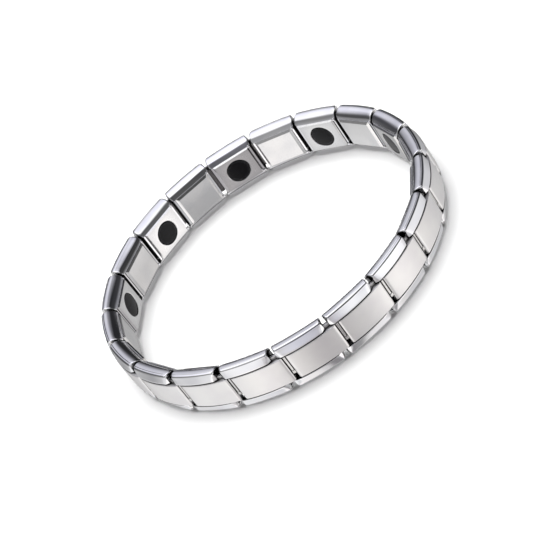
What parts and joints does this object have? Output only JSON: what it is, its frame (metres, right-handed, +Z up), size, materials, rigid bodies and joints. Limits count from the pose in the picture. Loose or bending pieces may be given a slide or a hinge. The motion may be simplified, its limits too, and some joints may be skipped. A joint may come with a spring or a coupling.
{
  "type": "magnetic bracelet",
  "caption": "Closed loop of rigid steel box links with polished rounded sides, brushed domed face plates and round black magnets on the wrist side.",
  "frame": {"origin": "centre of the underside, on the loop's axis, in the plane of the surface it lies on", "axes": "+Z up along the loop's axis (the wrist's axis); a gap between two links lies on +X and on -Y"},
  "size_m": [0.0648, 0.0648, 0.0088],
  "materials": {
    "polished_steel": "mirror-polished stainless steel sheet with fine handling scratches",
    "brushed_face": "satin brushed stainless steel, grain across the band",
    "satin_inner": "fine satin stainless steel with worn borders",
    "spring_steel": "bright cut spring steel strip",
    "magnet_black": "ground and polished black ferrite magnet"
  },
  "bodies": {
    "root": {"link_shell_01": "polished_steel", "link_shell_02": "polished_steel", "link_shell_03": "polished_steel", "link_shell_04": "polished_steel", "link_shell_05": "polished_steel", "link_shell_06": "polished_steel", "link_shell_07": "polished_steel", "link_shell_08": "polished_steel", "link_shell_09": "polished_steel", "link_shell_10": "polished_steel", "link_shell_11": "polished_steel", "link_shell_12": "polished_steel", "link_shell_13": "polished_steel", "link_shell_14": "polished_steel", "link_shell_15": "polished_steel", "link_shell_16": "polished_steel", "link_shell_17": "polished_steel", "link_shell_18": "polished_steel", "link_shell_19": "polished_steel", "link_shell_20": "polished_steel", "face_plate_01": "brushed_face", "face_plate_02": "brushed_face", "face_plate_03": "brushed_face", "face_plate_04": "brushed_face", "face_plate_05": "brushed_face", "face_plate_06": "brushed_face", "face_plate_07": "brushed_face", "face_plate_08": "brushed_face", "face_plate_09": "brushed_face", "face_plate_10": "brushed_face", "face_plate_11": "brushed_face", "face_plate_12": "brushed_face", "face_plate_13": "brushed_face", "face_plate_14": "brushed_face", "face_plate_15": "brushed_face", "face_plate_16": "brushed_face", "face_plate_17": "brushed_face", "face_plate_18": "brushed_face", "face_plate_19": "brushed_face", "face_plate_20": "brushed_face", "magnet_01": "magnet_black", "magnet_02": "magnet_black", "magnet_03": "magnet_black", "magnet_04": "magnet_black", "magnet_05": "magnet_black", "magnet_06": "magnet_black", "magnet_07": "magnet_black", "magnet_08": "magnet_black", "magnet_09": "magnet_black", "magnet_10": "magnet_black", "plain_inner_plates": "satin_inner", "magnet_inner_plates": "satin_inner", "connectors": "spring_steel"}
  },
  "joints": []
}
